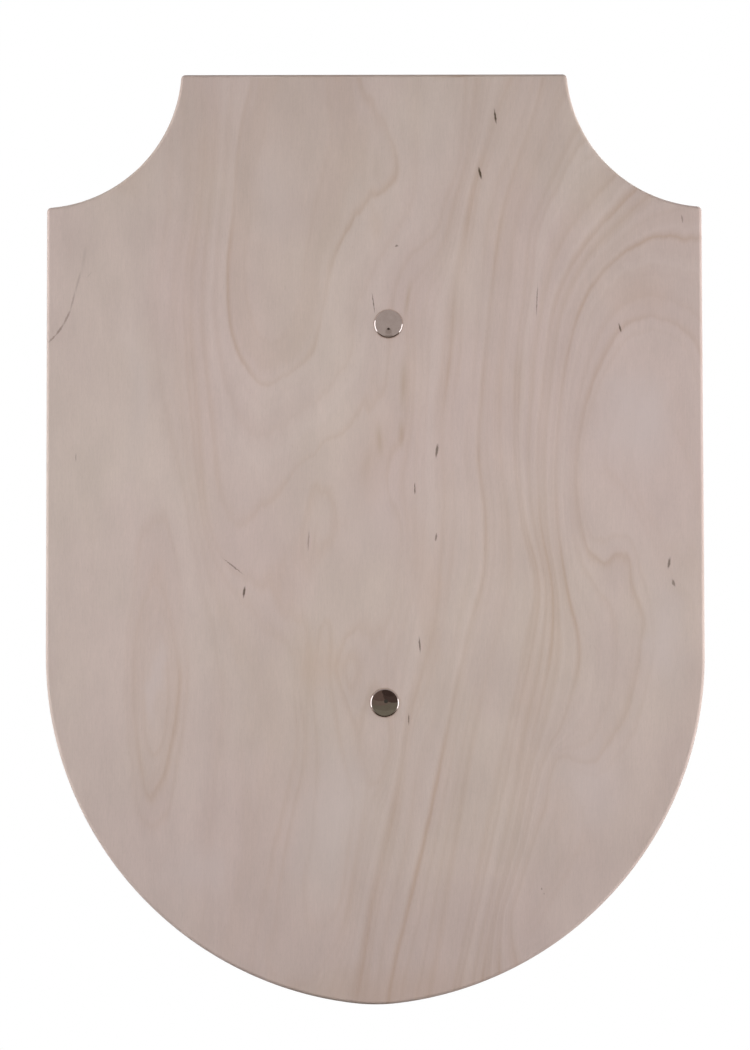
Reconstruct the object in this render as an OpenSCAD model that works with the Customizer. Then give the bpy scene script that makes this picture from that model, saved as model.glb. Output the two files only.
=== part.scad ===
// Shield-shaped plywood plaque blank with a bolted-on steel wall bridge, two capped
// through fixings and two rubber wall bumpers. Units are millimetres.
// Frame: +Z up, the face looks along -Y, the wall plane is y = 0, x = 0 is the centreline.

/* [Board] */
// width of the board across its straight sides
board_w = 297; // [200:1:420]
// overall height of the board
board_h = 420; // [280:1:600]
// thickness of the whole plywood board
board_t = 9; // [6:0.5:18]
// thickness of each outer veneer
veneer_t = 1.15; // [1.05:0.05:1.6]
// round-over of the front edge
front_round = 1.7; // [1.2:0.1:1.9]
// round-over of the back edge
back_round = 1.0; // [0.2:0.1:1.1]

/* [Outline] */
// radius of the quarter-round scoop at each top corner
scoop_r = 64.5; // [30:0.5:90]
// how far the scoop's centre lies outside the straight side
scoop_out = 3.5; // [0:0.5:12]
// how far the scoop's centre lies above the top edge
scoop_up = 3.75; // [0:0.25:12]
// radius of the small plan corners beside each scoop
corner_r = 2; // [1.8:0.1:6]
// radius of the long flank arcs that close the board below
flank_r = 157; // [150:1:200]
// radius of the blunt tip arc
tip_r = 85; // [60:1:140]

/* [Fixings] */
// height of each fixing above and below the middle of the bridge
fix_z = 85.5; // [50:0.5:120]
// level of the upper fixing below the top edge
fix_drop = 114; // [80:0.5:160]
// sideways place of the upper fixing from the centreline
fix_upper_x = 6.3; // [-12:0.1:12]
// sideways place of the lower fixing from the centreline
fix_lower_x = 4.2; // [-12:0.1:12]
// diameter of the polished cap
cap_d = 13.4; // [9:0.1:20]
// height of the cap above the face
cap_h = 2.1; // [2:0.1:4]
// radius of the cap's rounded rim
cap_rim = 1.15; // [0.5:0.05:1.2]
// drop of the shallow dome from its middle to the rim
cap_dome = 0.75; // [0.1:0.05:0.8]
// outside diameter of the nut barrel
barrel_d = 6; // [5:0.1:8]
// diameter of the plain bore that stands for the thread
thread_d = 4; // [3:0.1:5]
// diameter of the screw head
screw_head_d = 8.4; // [6:0.1:12]
// height of the screw head
screw_head_h = 1.9; // [1:0.1:3]
// length of the screw under its head
screw_len = 8.5; // [6:0.5:12]
// outside diameter of the washer
washer_d = 12; // [9:0.5:16]
// thickness of the washer
washer_t = 0.8; // [0.5:0.1:1.5]
// width of the screwdriver slot
drive_w = 1.1; // [0.8:0.1:1.6]
// depth of the screwdriver slot
drive_depth = 1; // [0.5:0.1:1.5]

/* [Bridge] */
// width of the steel strip
strip_w = 34; // [24:1:50]
// thickness of the steel strip
strip_t = 1.5; // [1:0.1:2.5]
// clear gap between the board and the crown of the bridge
crown_gap = 7; // [4:0.5:12]
// half length of the strip over its feet
strip_half = 98; // [80:0.5:130]
// half length of the crown up to the middle of its outer bends
crown_half = 64; // [40:0.5:70]
// slope of the two risers
riser_a = 60; // [40:1:80]
// inner bend radius
bend_r = 1.5; // [1:0.1:3]
// corner radius of the feet
foot_r = 7; // [2:0.5:15]
// radius of the keyhole's round entry
key_r = 5; // [4:0.1:7]
// height of the entry above the middle of the crown
key_z = 36; // [10:1:50]
// width of the neck between the entry and the hanging slot
neck_w = 5; // [3:0.1:6]
// width of the hanging slot
slot_w = 20; // [10:0.5:26]
// height of the hanging slot above the entry
slot_rise = 13; // [8:0.5:18]
// radius of each bite along the slot's upper edge
bite_r = 1.4; // [0.8:0.1:2]

/* [Bumpers] */
// sideways place of each bumper
bumper_x = 100; // [60:1:125]
// height of the bumpers below the origin
bumper_z = 130; // [80:1:150]
// diameter of a bumper
bumper_d = 12; // [8:0.5:20]
// thickness of the adhesive pad
pad_t = 0.5; // [0.3:0.1:1]
// how far the pad's edge lies inside the bumper's
pad_inset = 0.4; // [0.1:0.1:1]

/* [Hidden] */
$fn = 96;
eps = 0.01;
barrel_play = 0.1;
shank_play = 0.05;
washer_play = 0.15;
bridge_play = 0.25;
half_w = board_w / 2;
top_z = fix_drop + fix_z;
bot_z = top_z - board_h;
y_back = -(crown_gap + strip_t);
y_front = y_back - board_t;
inner_t = (board_t - 2 * veneer_t) / 5;
scoop_x = half_w + scoop_out;
scoop_z = top_z + scoop_up;
tip_z = bot_z + tip_r;
flank_x = half_w - flank_r;
flank_z = tip_z + sqrt(pow(flank_r - tip_r, 2) - flank_x * flank_x);
tip_a = atan2(tip_z - flank_z, -flank_x);
ca_z = top_z - corner_r;
ca_x = scoop_x - sqrt(pow(scoop_r + corner_r, 2) - pow(scoop_z - ca_z, 2));
ca_a = atan2(scoop_z - ca_z, scoop_x - ca_x);
cb_x = half_w - corner_r;
cb_z = scoop_z - sqrt(pow(scoop_r + corner_r, 2) - pow(scoop_x - cb_x, 2));
cb_a = atan2(scoop_z - cb_z, scoop_x - cb_x);
hole_r = barrel_d / 2 + barrel_play;
lean_a = atan2(fix_upper_x - fix_lower_x, 2 * fix_z);
fix_s = fix_z / cos(lean_a);
mid_x = (fix_upper_x + fix_lower_x) / 2;
face_in_a = acos(1 - veneer_t / front_round);

function arc(cx, cz, r, a0, a1, n) =
    [for (i = [0 : n]) [cx + r * cos(a0 + (a1 - a0) * i / n), cz + r * sin(a0 + (a1 - a0) * i / n)]];

// right half of the outline drawn in by d, from the top corner round to the tip
function half_outline(d) = concat(
    arc(ca_x, ca_z, corner_r - d, 90, ca_a, 5),
    arc(scoop_x, scoop_z, scoop_r + d, 180 + ca_a, 180 + cb_a, 22),
    arc(cb_x, cb_z, corner_r - d, cb_a, 0, 5),
    arc(flank_x, flank_z, flank_r - d, 0, tip_a, 40),
    arc(0, tip_z, tip_r - d, tip_a - 2, -90, 5));

function turned(pts) = [for (i = [len(pts) - 1 : -1 : 0]) pts[i]];

function flip(pts) = [for (i = [len(pts) - 2 : -1 : 0]) [-pts[i][0], pts[i][1]]];

function outline(d) = concat(half_outline(d), flip(half_outline(d)));

// one flat cap of the slab starting at point s: the outline falls all the way on each
// side, so straight bands from one side to the other fill it without crossing a scoop
function cap(s, n) = let (h = (n + 1) / 2) concat(
    [for (i = [0 : h - 3]) [s + i, s + i + 1, s + n - 2 - i, s + n - 1 - i]],
    [[s + h - 2, s + h - 1, s + h]]);

// a closed slab through rings of [y, inset], the first ring nearest the wall
module slab(rings) {
    n = len(outline(0));
    m = len(rings);
    pts = [for (g = rings) for (p = outline(g[1])) [p[0], g[0], p[1]]];
    sides = [for (k = [0 : m - 2]) for (i = [0 : n - 1])
        [k * n + i, k * n + (i + 1) % n, (k + 1) * n + (i + 1) % n, (k + 1) * n + i]];
    wall_cap = [for (f = cap(0, n)) turned(f)];
    polyhedron(points = pts, faces = concat(wall_cap, sides, cap((m - 1) * n, n)), convexity = 6);
}

// [y, inset] on the front round-over at angle a from the face
function front_edge(a) = [y_front + front_round * (1 - cos(a)), front_round * (1 - sin(a))];

module fixing_holes() {
    for (f = [[fix_upper_x, fix_z], [fix_lower_x, -fix_z]])
        translate([f[0], y_back + 1, f[1]])
            rotate([90, 0, 0])
                cylinder(h = board_t + 2, r = hole_r);
}

// flat inner sheet number k, counted from the back veneer
module sheet(k) {
    difference() {
        translate([0, y_back - veneer_t - (k - 1) * inner_t, 0])
            rotate([90, 0, 0])
                linear_extrude(height = inner_t, convexity = 6)
                    polygon(outline(0));
        fixing_holes();
    }
}

module face_ply() {
    color([0.80, 0.71, 0.62])
        difference() {
            slab([for (i = [6 : -1 : 0]) front_edge(face_in_a * i / 6)]);
            fixing_holes();
        }
}

module cross_ply_front() {
    y0 = y_front + veneer_t + inner_t;
    color([0.66, 0.53, 0.41])
        difference() {
            slab(concat([[y0, 0]],
                [for (i = [0 : 3]) front_edge(90 + (face_in_a - 90) * i / 3)]));
            fixing_holes();
        }
}

module long_ply_front() {
    color([0.78, 0.68, 0.57])
        sheet(4);
}

module core_ply() {
    color([0.64, 0.51, 0.39])
        sheet(3);
}

module long_ply_back() {
    color([0.78, 0.68, 0.57])
        sheet(2);
}

module cross_ply_back() {
    color([0.66, 0.53, 0.41])
        sheet(1);
}

module back_ply() {
    color([0.79, 0.70, 0.60])
        difference() {
            slab(concat(
                [for (a = [0, 18, 36, 54, 72, 90])
                    [y_back - back_round * (1 - cos(a)), back_round * (1 - sin(a))]],
                [[y_back - veneer_t, 0]]));
            fixing_holes();
        }
}

// shallow dome, bullnose rim and barrel turned about the fixing's axis
module cap_nut() {
    rise = cap_h - cap_dome;
    face_r = cap_d / 2 - cap_rim;
    dome_r = (face_r * face_r + cap_dome * cap_dome) / (2 * cap_dome);
    dome_a = asin(face_r / dome_r);
    bore_tip = board_t - 1;
    foot = 0.2;
    chamfer = 0.3;
    seat_ease = 0.15;
    rotate([90, 0, 0])
        rotate_extrude()
            polygon(concat(
                [[0, bore_tip]],
                [[thread_d / 2, bore_tip - thread_d / 4]],
                [[thread_d / 2, foot]],
                [[barrel_d / 2 - chamfer, foot]],
                [[barrel_d / 2, foot + chamfer]],
                [[barrel_d / 2, board_t]],
                [[cap_d / 2 - seat_ease, board_t]],
                [for (i = [0 : 9]) [cap_d / 2 - cap_rim + cap_rim * cos(i * 10),
                    board_t + rise - cap_rim + cap_rim * sin(i * 10)]],
                [for (i = [9 : -1 : 0]) [dome_r * sin(dome_a * i / 10),
                    board_t + cap_h - dome_r * (1 - cos(dome_a * i / 10))]]));
}

module upper_cap_nut() {
    color([0.80, 0.79, 0.77])
        translate([fix_upper_x, y_back, fix_z])
            cap_nut();
}

module lower_cap_nut() {
    color([0.80, 0.79, 0.77])
        translate([fix_lower_x, y_back, -fix_z])
            cap_nut();
}

// slotted binding screw; its seat is at the origin and its head rises along +Y
module rear_screw(turn) {
    head_r = screw_head_d / 2;
    ease = 0.2;
    shoulder = screw_head_h * 0.45;
    crown_w = 1.8;
    rotate([-90, turn, 0])
        difference() {
            union() {
                rotate_extrude()
                    polygon(concat(
                        [[0, 0], [head_r - ease, 0], [head_r, ease]],
                        [for (i = [0 : 5]) [head_r - crown_w + crown_w * cos(i * 18),
                            shoulder + (screw_head_h - shoulder) * sin(i * 18)]],
                        [[0, screw_head_h]]));
                translate([0, 0, -screw_len])
                    cylinder(h = screw_len + eps, r = thread_d / 2 - shank_play);
            }
            translate([-screw_head_d, -drive_w / 2, screw_head_h - drive_depth])
                cube([2 * screw_head_d, drive_w, drive_depth + 1]);
        }
}

module upper_screw() {
    color([0.62, 0.62, 0.60])
        translate([fix_upper_x, y_back + strip_t + washer_t, fix_z])
            rear_screw(24);
}

module lower_screw() {
    color([0.62, 0.62, 0.60])
        translate([fix_lower_x, y_back + strip_t + washer_t, -fix_z])
            rear_screw(-38);
}

module washer() {
    rotate([-90, 0, 0])
        difference() {
            cylinder(h = washer_t, r = washer_d / 2);
            translate([0, 0, -1])
                cylinder(h = washer_t + 2, r = thread_d / 2 + washer_play);
        }
}

module upper_washer() {
    color([0.66, 0.66, 0.64])
        translate([fix_upper_x, y_back + strip_t, fix_z])
            washer();
}

module lower_washer() {
    color([0.66, 0.66, 0.64])
        translate([fix_lower_x, y_back + strip_t, -fix_z])
            washer();
}

// side view of the bridge as [along, depth], one end, wall side then board side
function wall_side(s1, s2) = concat(
    [[strip_half, y_back + strip_t]],
    arc(s1, y_back + strip_t + bend_r, bend_r, -90, -90 - riser_a, 5),
    arc(s2, -strip_t - bend_r, bend_r + strip_t, 90 - riser_a, 90, 5));

function board_side(s1, s2) = concat(
    [[strip_half, y_back]],
    arc(s1, y_back + strip_t + bend_r, bend_r + strip_t, -90, -90 - riser_a, 5),
    arc(s2, -strip_t - bend_r, bend_r, 90 - riser_a, 90, 5));

function mirrored(pts) = [for (p = pts) [-p[0], p[1]]];

module bridge_strip() {
    fall = (y_back + strip_t + bend_r) - (-strip_t - bend_r);
    s2 = crown_half;
    s1 = s2 + (2 * bend_r + strip_t - fall * cos(riser_a)) / sin(riser_a);
    translate([-strip_w / 2, 0, 0])
        rotate([90, 0, 90])
            linear_extrude(height = strip_w, convexity = 8)
                rotate(90)
                    mirror([0, 1])
                        polygon(concat(
                            wall_side(s1, s2),
                            turned(mirrored(wall_side(s1, s2))),
                            mirrored(board_side(s1, s2)),
                            turned(board_side(s1, s2))));
}

module foot_plan() {
    translate([-strip_w / 2 + foot_r, -strip_half])
        square([strip_w - 2 * foot_r, 2 * strip_half]);
    translate([-strip_w / 2, -strip_half + foot_r])
        square([strip_w, 2 * (strip_half - foot_r)]);
    for (u = [-1, 1])
        for (v = [-1, 1])
            translate([u * (strip_w / 2 - foot_r), v * (strip_half - foot_r)])
                circle(r = foot_r);
}

module hole_along_y(r, x, z) {
    translate([x, 1, z])
        rotate([90, 0, 0])
            cylinder(h = crown_gap + strip_t + 2, r = r);
}

module hanger_bridge() {
    slot_z = key_z + slot_rise;
    color([0.58, 0.59, 0.60])
        translate([mid_x, 0, 0])
            rotate([0, lean_a, 0])
                difference() {
                    intersection() {
                        bridge_strip();
                        translate([0, 1, 0])
                            rotate([90, 0, 0])
                                linear_extrude(height = crown_gap + 2 * strip_t + 2)
                                    foot_plan();
                    }
                    hole_along_y(thread_d / 2 + bridge_play, 0, fix_s);
                    hole_along_y(thread_d / 2 + bridge_play, 0, -fix_s);
                    hole_along_y(key_r, 0, key_z);
                    translate([-neck_w / 2, -strip_t - 1, key_z])
                        cube([neck_w, strip_t + 2, slot_rise]);
                    translate([-slot_w / 2 + neck_w / 2, -strip_t - 1, slot_z - neck_w / 2])
                        cube([slot_w - neck_w, strip_t + 2, neck_w]);
                    for (u = [-1, 1])
                        translate([u * (slot_w / 2 - neck_w / 2), 1, slot_z])
                            rotate([90, 0, 0])
                                cylinder(h = strip_t + 2, r = neck_w / 2);
                    for (i = [-2 : 2])
                        translate([i * 2 * bite_r, 1, slot_z + neck_w / 2])
                            rotate([90, 0, 0])
                                cylinder(h = strip_t + 2, r = bite_r);
                }
}

// rubber button with softened edges, base on the pad, flat face on the wall plane
module bumper() {
    h = crown_gap + strip_t - pad_t;
    r = bumper_d / 2;
    nose_r = 1.5;
    taper = 0.5;
    ease = 0.3;
    rotate([90, 0, 0])
        rotate_extrude()
            polygon(concat(
                [[0, 0]],
                [for (i = [0 : 6]) [r - taper - nose_r * (1 - sin(i * 15)), nose_r * (1 - cos(i * 15))]],
                [[r, h - ease], [r - ease, h], [0, h]]));
}

module pad() {
    rotate([90, 0, 0])
        cylinder(h = pad_t, r = bumper_d / 2 - pad_inset);
}

module left_bumper() {
    color([0.16, 0.16, 0.16])
        translate([-bumper_x, 0, -bumper_z])
            bumper();
}

module right_bumper() {
    color([0.16, 0.16, 0.16])
        translate([bumper_x, 0, -bumper_z])
            bumper();
}

module left_bumper_pad() {
    color([0.86, 0.86, 0.83])
        translate([-bumper_x, y_back + pad_t, -bumper_z])
            pad();
}

module right_bumper_pad() {
    color([0.86, 0.86, 0.83])
        translate([bumper_x, y_back + pad_t, -bumper_z])
            pad();
}

face_ply();
cross_ply_front();
long_ply_front();
core_ply();
long_ply_back();
cross_ply_back();
back_ply();
hanger_bridge();
upper_cap_nut();
lower_cap_nut();
upper_screw();
lower_screw();
upper_washer();
lower_washer();
left_bumper();
right_bumper();
left_bumper_pad();
right_bumper_pad();
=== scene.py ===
import math

import bmesh
import bpy
import numpy as np
from mathutils import Matrix, Vector


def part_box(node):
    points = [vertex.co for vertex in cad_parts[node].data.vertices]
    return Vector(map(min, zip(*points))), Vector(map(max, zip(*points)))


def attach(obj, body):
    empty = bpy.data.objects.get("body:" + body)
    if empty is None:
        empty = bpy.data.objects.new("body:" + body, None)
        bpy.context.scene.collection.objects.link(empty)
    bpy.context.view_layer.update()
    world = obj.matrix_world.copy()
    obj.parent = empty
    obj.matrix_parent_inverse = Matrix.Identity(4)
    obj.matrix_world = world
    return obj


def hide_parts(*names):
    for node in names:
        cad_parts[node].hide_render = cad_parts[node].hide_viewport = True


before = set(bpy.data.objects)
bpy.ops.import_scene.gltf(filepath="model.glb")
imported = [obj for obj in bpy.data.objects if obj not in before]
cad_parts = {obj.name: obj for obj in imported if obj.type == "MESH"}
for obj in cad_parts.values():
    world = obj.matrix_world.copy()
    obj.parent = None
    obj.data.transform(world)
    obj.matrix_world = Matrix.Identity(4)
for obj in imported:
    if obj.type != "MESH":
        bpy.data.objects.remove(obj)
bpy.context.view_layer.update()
scene = bpy.context.scene

# ---------------------------------------------------------------- driving sizes, metres
MM = 0.001
FRONT_ROUND = 1.7 * MM
BACK_ROUND = 1.0 * MM
SCOOP_R = 64.5 * MM
SCOOP_OUT = 3.5 * MM
SCOOP_UP = 3.75 * MM
CORNER_R = 2.0 * MM
FLANK_R = 157.0 * MM
TIP_R = 85.0 * MM
CAP_RIM = 1.15 * MM
CAP_DOME = 0.75 * MM
BARREL_R = 3.0 * MM
BORE_R = 2.0 * MM
BORE_START = 1.0 * MM
HOLE_R = 3.1 * MM
SHANK_R = 1.95 * MM
THREAD_PITCH = 0.7 * MM
THREAD_DEPTH = 0.38 * MM
WASHER_BORE_R = 2.15 * MM
# Steps along each stretch of half the outline, from the top corner to the tip.
CORNER_STEPS, SCOOP_STEPS, SIDE_STEPS, FLANK_STEPS, TIP_STEPS = 8, 40, 61, 84, 12

core_lo, core_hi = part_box("core_ply")
HALF_W = core_hi.x
TOP_Z = core_hi.z
BOT_Z = core_lo.z
FRONT_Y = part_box("face_ply")[0].y
BACK_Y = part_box("back_ply")[1].y


def middle(node):
    """Centre of a CAD node's box."""
    lo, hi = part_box(node)
    return (lo + hi) / 2


# ---------------------------------------------------------------- outline of the board
def arc(cx, cz, r, a0, a1, n):
    """n + 1 points along a circular arc, angles in degrees."""
    t = np.radians(np.linspace(a0, a1, n + 1))
    return np.column_stack((cx + r * np.cos(t), cz + r * np.sin(t)))


def half_outline(d):
    """Right half of the outline drawn in by d, from the top corner round to the tip."""
    scoop = Vector((HALF_W + SCOOP_OUT, TOP_Z + SCOOP_UP))
    reach = SCOOP_R + CORNER_R
    ca_z = TOP_Z - CORNER_R
    ca_x = scoop.x - math.sqrt(reach**2 - (scoop.y - ca_z) ** 2)
    ca_a = math.degrees(math.atan2(scoop.y - ca_z, scoop.x - ca_x))
    cb_x = HALF_W - CORNER_R
    cb_z = scoop.y - math.sqrt(reach**2 - (scoop.x - cb_x) ** 2)
    cb_a = math.degrees(math.atan2(scoop.y - cb_z, scoop.x - cb_x))
    tip_z = BOT_Z + TIP_R
    flank_x = HALF_W - FLANK_R
    flank_z = tip_z + math.sqrt((FLANK_R - TIP_R) ** 2 - flank_x**2)
    tip_a = math.degrees(math.atan2(tip_z - flank_z, -flank_x))
    side = np.linspace(cb_z, flank_z, SIDE_STEPS + 1)[1:-1]
    return np.vstack((
        arc(ca_x, ca_z, CORNER_R - d, 90, ca_a, CORNER_STEPS),
        arc(scoop.x, scoop.y, SCOOP_R + d, 180 + ca_a, 180 + cb_a, SCOOP_STEPS)[1:],
        arc(cb_x, cb_z, CORNER_R - d, cb_a, 0, CORNER_STEPS)[1:],
        np.column_stack((np.full(len(side), HALF_W - d), side)),
        arc(flank_x, flank_z, FLANK_R - d, 0, tip_a, FLANK_STEPS),
        arc(0, tip_z, TIP_R - d, tip_a, -90, TIP_STEPS)[1:],
    ))


def quarter(radius, depth_from, depth_to, steps):
    """(depth below the face, inset) pairs down a quarter-round edge."""
    a0 = math.acos(1 - depth_from / radius)
    a1 = math.acos(1 - depth_to / radius)
    return [(radius * (1 - math.cos(a)), radius * (1 - math.sin(a)))
            for a in np.linspace(a0, a1, steps + 1)]


# ---------------------------------------------------------------- mesh helpers
def new_object(name, verts, faces, sharp=35.0):
    """A mesh object with smooth faces and edges over the given angle kept sharp."""
    mesh = bpy.data.meshes.new(name)
    mesh.from_pydata([tuple(v) for v in verts], [], faces)
    mesh.validate()
    obj = bpy.data.objects.new(name, mesh)
    scene.collection.objects.link(obj)
    finish_mesh(obj, sharp)
    return obj


def finish_mesh(obj, sharp=35.0):
    """Points every face outward and marks the sharp edges."""
    bm = bmesh.new()
    bm.from_mesh(obj.data)
    bmesh.ops.remove_doubles(bm, verts=bm.verts, dist=1e-7)
    bmesh.ops.recalc_face_normals(bm, faces=bm.faces)
    bm.to_mesh(obj.data)
    bm.free()
    obj.data.shade_smooth()
    obj.data.set_sharp_from_angle(angle=math.radians(sharp))


def apply_modifiers(obj):
    """Replaces the mesh by its evaluated form and drops the modifiers."""
    graph = bpy.context.evaluated_depsgraph_get()
    mesh = bpy.data.meshes.new_from_object(obj.evaluated_get(graph))
    obj.modifiers.clear()
    obj.data = mesh


def cut(obj, cutter, sharp=35.0):
    """Takes the cutter out of obj and removes the cutter."""
    mod = obj.modifiers.new("cut", "BOOLEAN")
    mod.operation = "DIFFERENCE"
    mod.solver = "EXACT"
    mod.object = cutter
    apply_modifiers(obj)
    bpy.data.objects.remove(cutter)
    finish_mesh(obj, sharp)


def turned(name, profile, place, segments=96, sharp=35.0):
    """A closed (radius, height) profile turned about +Y at place, height 0 at place."""
    ring = [(math.cos(t), math.sin(t))
            for t in np.linspace(0, 2 * math.pi, segments, endpoint=False)]
    verts, rows = [], []
    for r, h in profile:
        if r < 1e-9:
            rows.append([len(verts)] * segments)
            verts.append(Vector((0, h, 0)) + place)
        else:
            rows.append(list(range(len(verts), len(verts) + segments)))
            verts += [Vector((r * c, h, r * s)) + place for c, s in ring]
    faces = []
    closed = profile[0][0] > 1e-9
    last = len(rows) if closed else len(rows) - 1
    for i in range(last):
        a, b = rows[i], rows[(i + 1) % len(rows)]
        for k in range(segments):
            j = (k + 1) % segments
            face = [a[k], a[j], b[j], b[k]]
            face = [v for n, v in enumerate(face) if v not in face[:n]]
            if len(face) > 2:
                faces.append(face)
    return new_object(name, verts, faces, sharp)


def rounded(points, radius, steps=5):
    """A profile whose corners, except the first and last point's, are rounded."""
    out = [points[0]]
    for before, here, after in zip(points, points[1:], points[2:]):
        p, a, b = (Vector(q) for q in (here, before, after))
        r = min(radius, (a - p).length * 0.45, (b - p).length * 0.45)
        start, end = p + (a - p).normalized() * r, p + (b - p).normalized() * r
        for t in np.linspace(0, 1, steps + 1):
            out.append(tuple(start * (1 - t) ** 2 + p * 2 * t * (1 - t) + end * t * t))
    out.append(points[-1])
    return out


# ---------------------------------------------------------------- plies
def ply_mesh(name, rings, columns):
    """A sheet through rings of (y, inset). The first ring's cap gets a grid of columns,
    so that it can carry the figure of the wood; the last ring's cap has plain bands."""
    verts, faces = [], []
    loops = []
    for y, inset in rings:
        right = half_outline(inset)
        loop = np.vstack((right, right[-2::-1] * (-1, 1)))
        loops.append(list(range(len(verts), len(verts) + len(loop))))
        verts += [(x, y, z) for x, z in loop]
    n = len(loops[0])
    half = (n + 1) // 2
    for a, b in zip(loops, loops[1:]):
        faces += [[a[i], a[(i + 1) % n], b[(i + 1) % n], b[i]] for i in range(n)]
    y = rings[0][0]
    rows = []
    for i in range(half):
        left, right = loops[0][-1 - i], loops[0][i]
        row = [left]
        if i < half - 1:
            for t in np.linspace(-1, 1, columns + 1)[1:-1]:
                row.append(len(verts))
                verts.append((t * verts[right][0], y, verts[right][2]))
            row.append(right)
        rows.append(row)
    for a, b in zip(rows, rows[1:-1]):
        faces += [[a[k], a[k + 1], b[k + 1], b[k]] for k in range(columns)]
    tip = rows[-1][0]
    faces += [[rows[-2][k], rows[-2][k + 1], tip] for k in range(columns)]
    last = loops[-1]
    faces += [[last[i], last[i + 1], last[-2 - i], last[-1 - i]] for i in range(half - 2)]
    faces.append([last[half - 2], last[half - 1], last[half]])
    return new_object(name, verts, faces)


def drill(obj, y0, y1, radius):
    """Drills both fixing holes through the sheet."""
    margin = MM
    deep = y1 - y0 + 2 * margin
    for node in ("upper_cap_nut", "lower_cap_nut"):
        at = middle(node)
        place = Vector((at.x, y0 - margin, at.z))
        cut(obj, turned("drill", [(0, 0), (radius, 0), (radius, deep), (0, deep)], place, 48))


PLIES = (
    # piece, CAD node, material slot, columns on its first cap
    ("face_veneer", "face_ply", "face_veneer", 116),
    ("cross_sheet_front", "cross_ply_front", "cross_veneer", 2),
    ("long_sheet_front", "long_ply_front", "long_veneer", 2),
    ("core_sheet", "core_ply", "cross_veneer", 2),
    ("long_sheet_back", "long_ply_back", "long_veneer", 2),
    ("cross_sheet_back", "cross_ply_back", "cross_veneer", 2),
    ("back_veneer", "back_ply", "back_veneer", 60),
)


def ply_rings(node):
    """(y, inset) of each ring of a sheet, the side that carries the grid first."""
    lo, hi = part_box(node)
    if node == "face_ply":
        return [(FRONT_Y + d, inset) for d, inset in quarter(FRONT_ROUND, 0, hi.y - lo.y, 12)]
    if node == "cross_ply_front":
        edge = quarter(FRONT_ROUND, lo.y - FRONT_Y, FRONT_ROUND, 4)
        return [(FRONT_Y + d, inset) for d, inset in edge] + [(hi.y, 0)]
    if node == "back_ply":
        edge = quarter(BACK_ROUND, 0, BACK_ROUND, 10)
        return [(BACK_Y - d, inset) for d, inset in edge] + [(lo.y, 0)]
    return [(lo.y, 0), (hi.y, 0)]


def make_plies():
    """The seven sheets of the board by piece name, drilled, each for its CAD node."""
    made = {}
    for name, node, slot, columns in PLIES:
        lo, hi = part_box(node)
        obj = ply_mesh(name, ply_rings(node), columns)
        drill(obj, lo.y, hi.y, HOLE_R)
        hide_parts(node)
        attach(obj, "root")
        made[name] = obj
    return made


# ---------------------------------------------------------------- figure of the veneer
# Growth rings: (level, points in mm from the origin, x then z).
RINGS = (
    (1, [(-77, 161), (-80, 131), (-83, 107), (-83, 76), (-79, 37), (-77, 10), (-74, -8),
         (-68, -22), (-58, -31), (-46, -28), (-35, -24), (-31, -11), (-24, 8)]),
    (0, [(-56, 196), (-61, 173), (-64, 140), (-67, 107), (-64, 77), (-52, 59), (-43, 60),
         (-28, 77), (-19, 117), (-6, 138), (10, 153), (4, 179), (-6, 197)]),
    (1, [(46, 190), (42, 161), (36, 140), (30, 119), (19, 106), (15, 90), (16, 64), (14, 37),
         (8, 15), (12, -10), (10, -35)]),
    (2, [(57, 185), (45, 146), (42, 128), (36, 100), (34, 70), (30, 37), (31, 10), (30, -17),
         (27, -50), (19, -80), (14, -99), (8, -135), (0, -170), (-6, -205)]),
    (3, [(74, 185), (60, 143), (54, 107), (50, 70), (47, 28), (50, -2), (49, -29), (42, -56),
         (35, -87), (27, -126), (18, -165), (9, -200)]),
    (4, [(82, 180), (65, 134), (61, 100), (57, 61), (57, 25), (60, -2), (60, -32), (54, -59),
         (46, -90), (38, -132), (28, -195)]),
    (5, [(92, 165), (75, 131), (71, 104), (66, 67), (65, 25), (68, -5), (74, -32), (70, -62),
         (63, -96), (55, -135), (43, -190)]),
    (6, [(118, 146), (94, 119), (82, 94), (77, 61), (74, 28), (75, -5), (80, -35), (79, -65),
         (72, -96), (64, -135), (53, -180)]),
    (7, [(148, 124), (124, 124), (106, 112), (94, 94), (87, 70), (83, 40), (82, 5), (86, -32),
         (92, -62), (85, -92), (73, -118), (66, -150), (57, -178)]),
    (8, [(151, 58), (146, 75), (138, 85), (126, 89), (112, 84), (103, 69),
         (94, 43), (91, 13), (94, -10), (102, -22), (114, -18), (116, -32), (121, -50),
         (117, -74), (110, -96), (97, -112), (81, -111), (77, -129), (69, -153), (61, -180)]),
    (2, [(-99, -26), (-106, -48), (-109, -75), (-107, -104), (-101, -127), (-93, -106),
         (-89, -78), (-92, -50), (-99, -26)]),
    (1, [(-40, -45), (-31, -56), (-34, -84), (-32, -105), (-38, -138), (-44, -171), (-49, -200)]),
    (1, [(-18, -70), (-14, -84), (-8, -99), (-4, -126), (2, -120), (7, -105)]),
)
# Levels between the lines: the field's floor and crown there.
RING_PEGS = (
    (-0.6, [(-35, 185), (-40, 130), (-45, 90)]),
    (0.55, [(30, 190), (26, 165), (22, 140)]),
    (8.7, [(125, 50), (122, 10), (135, -10)]),
    (8.4, [(135, -90), (110, -140), (88, -165), (72, -190)]),
    (2.35, [(-99, -60), (-99, -100)]),
    (1.65, [(-113, 5), (-120, -75), (-113, -150)]),
    (1.6, [(-87, 5), (-76, -75), (-84, -150)]),
    (1.6, [(-115, 150), (-128, 60), (-132, 0), (-136, -60), (-122, -130), (-95, -190)]),
    (1.4, [(-60, -90), (-64, -140), (-70, -185)]),
    (0.6, [(-12, -130), (-20, -170), (-22, -60)]),
)
# Heights count for less than widths, which draws the rings out along the grain.
ALONG_GRAIN = 0.45
FIELD_SPAN = 100
FIELD_SLACK = 2e-4


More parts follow.
